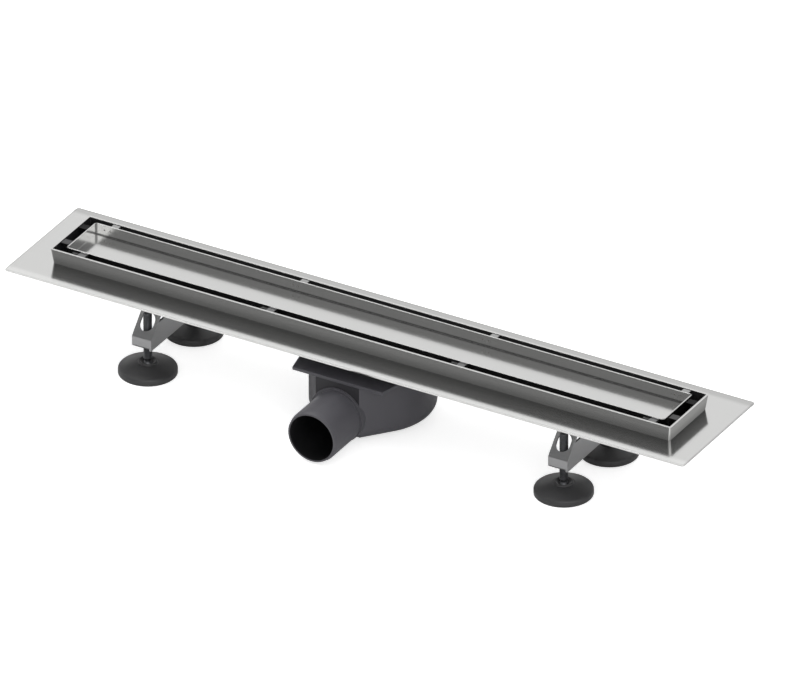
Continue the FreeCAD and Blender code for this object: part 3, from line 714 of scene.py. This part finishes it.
def chain(bm, points):
    """Vertices along points in the XZ plane, joined by edges."""
    verts = [bm.verts.new((r, 0, z)) for r, z in points]
    return verts + [bm.edges.new(pair) for pair in zip(verts, verts[1:])]


def spun(bm, points):
    """Turn an outline of (r, z) points about the Z axis into a closed surface."""
    bmesh.ops.spin(bm, geom=chain(bm, points), cent=(0, 0, 0), axis=(0, 0, 1), angle=2 * math.pi,
                   steps=TURN_STEPS, use_merge=True)
    bmesh.ops.remove_doubles(bm, verts=bm.verts, dist=WELD)


def arc(radius, centre, first, last):
    """Points on a round about a centre on the axis, by their angle in degrees from straight down."""
    angles = [math.radians(angle) for angle in range(first, last + 1, ARC_STEP)]
    return [(radius * math.sin(angle), centre - radius * math.cos(angle)) for angle in angles]


def cut_thread(bm, length):
    """Spin a zigzag outline up the rod and cut it level at both ends."""
    turns = math.ceil((length - THREAD_START) / PITCH) + 2
    outline = []  # the crest runs from one share of the pitch to another
    for turn in range(turns):
        foot = THREAD_START - PITCH + turn * PITCH
        outline += [(ROOT, foot), (CREST, foot + CREST_FROM * PITCH), (CREST, foot + CREST_TO * PITCH)]
    outline.append((ROOT, THREAD_START - PITCH + turns * PITCH))
    bmesh.ops.spin(bm, geom=chain(bm, outline), cent=(0, 0, 0), axis=(0, 0, 1), angle=2 * math.pi,
                   steps=TURN_STEPS, dvec=(0, 0, PITCH / TURN_STEPS))
    bmesh.ops.remove_doubles(bm, verts=bm.verts, dist=WELD)
    for level, up in ((THREAD_START, -1), (length - THREAD_END, 1)):
        cut = bmesh.ops.bisect_plane(bm, geom=bm.verts[:] + bm.edges[:] + bm.faces[:],
                                     plane_co=(0, 0, level), plane_no=(0, 0, up), clear_outer=True)
        rim = [item for item in cut["geom_cut"] if isinstance(item, bmesh.types.BMEdge)]
        bmesh.ops.contextual_create(bm, geom=rim)


def threaded_rod(place):
    """Rod with a cut thread, a necked ball below and a bevelled end above."""
    low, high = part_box(f"foot_rod_{place}")
    centre = Vector(((low.x + high.x) / 2, (low.y + high.y) / 2, low.z))
    length = high.z - low.z
    bm = bmesh.new()
    cut_thread(bm, length)
    ball = [(0.0, 0.0)] + arc(BALL, BALL_HEIGHT, ARC_STEP, BALL_ARC_END)
    neck = [(NECK, BALL_HEIGHT + math.sqrt(BALL ** 2 - NECK ** 2)), (NECK, THREAD_START - SHOULDER)]
    spun(bm, ball + neck + [(CREST, THREAD_START), (0.0, THREAD_START)])
    tip = length - TIP_HEIGHT
    spun(bm, [(0.0, tip), (CREST - TIP_BEVEL, tip), (ROOT, length), (0.0, length)])
    bmesh.ops.recalc_face_normals(bm, faces=bm.faces)
    bmesh.ops.translate(bm, verts=bm.verts, vec=centre)
    return finished(bm, f"threaded_rod_{place}", zinc, f"rod_{place}",
                    (f"foot_rod_{place}",))


for place in feet:
    piece = threaded_rod(place)
print("thread has", len(piece.data.polygons), "faces a rod")

# %% Nuts
NUT_EDGE = 0.25 * MM
for place in feet:
    edged(f"foot_nut_{place}", f"hexagon_nut_{place}", zinc, NUT_EDGE)
print(len(feet), "nuts edged")

# %% [markdown]
# ## Pads
#
# The pads are simple turned shapes, so each is one outline spun about its rod. The corners of the
# outline are rounded first by a vertex bevel, which is how the mould is turned: rim, cone, hub and
# the socket for the ball, with a shallow recess underneath so that the pad stands on a ring. A
# small groove parts the cone from the hub.

# %% Moulded pads
PAD_STEPS = 72
ROUNDING_SEGMENTS = 4
SOCKET = 5.2 * MM
SOCKET_HEIGHT = 8.0 * MM
SOCKET_ARC_END = 120
SOCKET_MOUTH = 7.4 * MM
PAD_RECESS = 1.2 * MM
RING_INSIDE = 20.5 * MM
RING_FOOT = 21.7 * MM
RIM_HEIGHT = 6.0 * MM
CONE_TOP = 10.4 * MM
CONE_HEIGHT = 10.8 * MM
GROOVE = 9.4 * MM
GROOVE_HEIGHT = 10.6 * MM
HUB = 8.6 * MM
HUB_START = 11.2 * MM


def moulded_pad(place):
    """Pad outline from the middle of the underside to the bottom of the ball socket."""
    low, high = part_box(f"foot_pad_{place}")
    centre = Vector(((low.x + high.x) / 2, (low.y + high.y) / 2, low.z))
    radius = (high.x - low.x) / 2
    top = high.z - low.z
    corners = [  # radius, height and rounding
        (0.0, PAD_RECESS, 0),
        (RING_INSIDE, PAD_RECESS, 0.3 * MM),
        (RING_FOOT, 0.0, 0.3 * MM),
        (radius, 0.0, 0.6 * MM),
        (radius, RIM_HEIGHT, 1.8 * MM),
        (CONE_TOP, CONE_HEIGHT, 0.5 * MM),
        (GROOVE, GROOVE_HEIGHT, 0.4 * MM),
        (HUB, HUB_START, 0.3 * MM),
        (HUB, top, 0.6 * MM),
        (SOCKET_MOUTH, top, 0.4 * MM),
    ]
    bm = bmesh.new()
    socket = arc(SOCKET, SOCKET_HEIGHT, 0, SOCKET_ARC_END)
    outline = chain(bm, [(r, z) for r, z, _ in corners] + socket[::-1])
    for vert, (_, _, rounding) in zip(outline[:len(corners)], corners):
        if rounding:
            bmesh.ops.bevel(bm, geom=[vert], offset=rounding, affect="VERTICES", segments=ROUNDING_SEGMENTS,
                            profile=0.5, material=-1, offset_type="OFFSET")
    bmesh.ops.spin(bm, geom=bm.verts[:] + bm.edges[:], cent=(0, 0, 0), axis=(0, 0, 1), angle=2 * math.pi,
                   steps=PAD_STEPS, use_merge=True)
    bmesh.ops.remove_doubles(bm, verts=bm.verts, dist=WELD)
    bmesh.ops.recalc_face_normals(bm, faces=bm.faces)
    bmesh.ops.translate(bm, verts=bm.verts, vec=centre)
    return finished(bm, f"moulded_pad_{place}", pad_plastic, f"pad_{place}",
                    (f"foot_pad_{place}",))


for place in feet:
    piece = moulded_pad(place)
print("a pad has", len(piece.data.polygons), "faces")

# %% [markdown]
# ## Spot welds in the tray
#
# Two spot welds hold the foot of each spacer, and the electrode leaves a small dimple on the
# inside of the tray. Each mark is a shallow ring with a sunken middle, a tenth of a millimetre
# high, and the heat has left it darker than the sheet round it.

# %% Finish of the spot welds
OXIDE_SIZE = 0.8 * MM
heat_mark, tree = new_finish("spot_welded_stainless")
place = add(tree, "ShaderNodeTexCoord")
cloud = add(tree, "ShaderNodeTexNoise",
            {"Vector": place.outputs["Object"], "Scale": 1 / OXIDE_SIZE, "Detail": 2.0})
tint = add(tree, "ShaderNodeMix",
           {"Factor": cloud.outputs[0], 6: linear("#7C7A76"), 7: linear("#949290")},
           data_type="RGBA")
oxide = add(tree, "ShaderNodeBsdfPrincipled",
            {"Base Color": tint.outputs[2], "Metallic": 1.0, "Roughness": 0.42})
add(tree, "ShaderNodeOutputMaterial", {"Surface": oxide.outputs[0]})
print("weld finish:", heat_mark.name)

# %% Spot weld marks
MARK_RADIUS = 0.8 * MM
MARK_SEGMENTS = 20
MARK_RISE = 0.10 * MM
RING_SHARE = 0.35
SLOPE_SHARE = 0.25
SUNKEN_SHARE = 0.7
MARK_SPACING = 5.9 * MM
MARK_SHIFT = 6.35 * MM
MARK_DROP = 5.0 * MM
TAB_HALF = 3.75 * MM


def weld_mark(bm, turn, at):
    """A ring with a sunken middle, facing -Y before it is turned about Z."""
    disc = bmesh.ops.create_circle(bm, cap_ends=True, radius=MARK_RADIUS, segments=MARK_SEGMENTS)
    face = disc["verts"][0].link_faces[0]
    ring = bmesh.ops.inset_region(bm, faces=[face], thickness=MARK_RADIUS * RING_SHARE, use_boundary=True)
    bmesh.ops.translate(bm, verts=face.verts[:], vec=(0, 0, MARK_RISE))
    inner = bmesh.ops.inset_region(bm, faces=[face], thickness=MARK_RADIUS * SLOPE_SHARE, use_boundary=True)
    bmesh.ops.translate(bm, verts=face.verts[:], vec=(0, 0, -MARK_RISE * SUNKEN_SHARE))
    faces = {face} | set(ring["faces"]) | set(inner["faces"])
    verts = list({vert for part in faces for vert in part.verts})
    upright = Matrix.Rotation(math.radians(90), 4, "X")
    matrix = Matrix.Translation(at) @ Matrix.Rotation(turn, 4, "Z") @ upright
    bmesh.ops.transform(bm, matrix=matrix, verts=verts)


mark_level = tray_high.z - MARK_DROP
bm = bmesh.new()
marks = 0
for number in range(1, 5):
    for side, turn, wall in (("back", 0.0, tray_high.y - TRAY_SHEET),
                             ("front", math.pi, tray_low.y + TRAY_SHEET)):
        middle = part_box(f"tray_spacer_{side}_{number}")[1].x - TAB_HALF - MARK_SHIFT
        for step in (-0.5, 0.5):
            weld_mark(bm, turn, Vector((middle + step * MARK_SPACING, wall, mark_level)))
            marks += 1
piece = finished(bm, "tray_spot_welds", heat_mark, body_name("tile_tray"))
print(marks, "spot weld marks with", len(piece.data.polygons), "faces")
